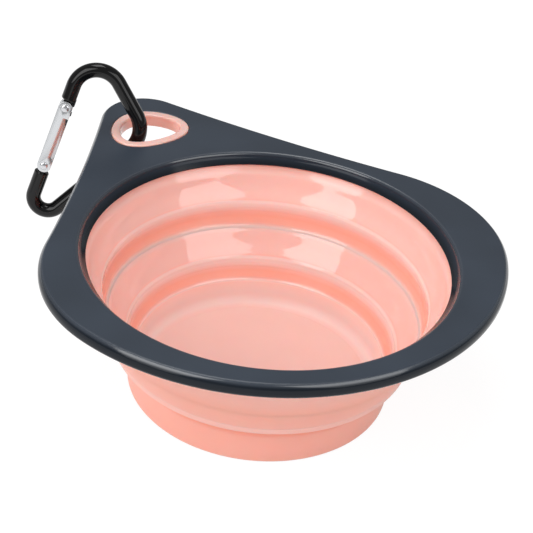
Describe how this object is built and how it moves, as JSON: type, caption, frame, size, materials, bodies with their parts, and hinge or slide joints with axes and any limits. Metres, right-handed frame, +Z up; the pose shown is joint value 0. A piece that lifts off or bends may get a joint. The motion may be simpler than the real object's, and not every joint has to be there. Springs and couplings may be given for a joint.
{
  "type": "collapsible travel bowl",
  "caption": "Collapsible soft travel bowl in a stiff rim with a corner tab, a lined eyelet and a spring-gated clip; the walls fold flat in steps.",
  "frame": {"origin": "centre of the base's flat underside, on the bowl's axis, at table level", "axes": "+Z up along the bowl's axis, +Y from the axis towards the tab and its eyelet, +X to the right of that"},
  "size_m": [0.1522, 0.175, 0.0737],
  "materials": {
    "rim_plastic": "satin",
    "soft_wall": "soft satin silicone",
    "soft_fold": "soft satin silicone",
    "clip_black": "gloss black anodised",
    "gate_steel": "bright",
    "spring_steel": "drawn wire"
  },
  "bodies": {
    "rim": {"rim_frame": "rim_plastic", "eyelet_liner": "soft_wall", "upper_wall": "soft_wall", "upper_fold": "soft_fold"},
    "middle": {"middle_wall": "soft_wall", "lower_fold": "soft_fold"},
    "base": {"base_cup": "soft_wall"},
    "clip": {"carabiner_body": "clip_black"},
    "gate": {"carabiner_gate": "gate_steel", "gate_hinge_rivet": "gate_steel", "gate_latch_pin": "gate_steel", "gate_spring": "spring_steel", "gate_plunger": "spring_steel"}
  },
  "joints": [
    {"name": "upper_fold_slide", "type": "slide", "parent": "rim", "child": "middle", "axis": [0, 0, 1], "range_m": [0, 0.018], "deforming": ["upper_fold"]},
    {"name": "lower_fold_slide", "type": "slide", "parent": "middle", "child": "base", "axis": [0, 0, 1], "range_m": [0, 0.016], "deforming": ["lower_fold"]},
    {"name": "clip_swing", "type": "hinge", "parent": "rim", "child": "clip", "pos_m": [-0.01561, 0.08517, 0.04923], "axis": [-0.4891, -0.8471, 0.2079], "range_deg": [-40, 60]},
    {"name": "gate_hinge", "type": "hinge", "parent": "clip", "child": "gate", "pos_m": [-0.03762, 0.09476, 0.03651], "axis": [0.4891, 0.8471, -0.2079], "range_deg": [0, 20], "stiffness_Nm_per_rad": 0.02, "springref_deg": -28.65}
  ]
}
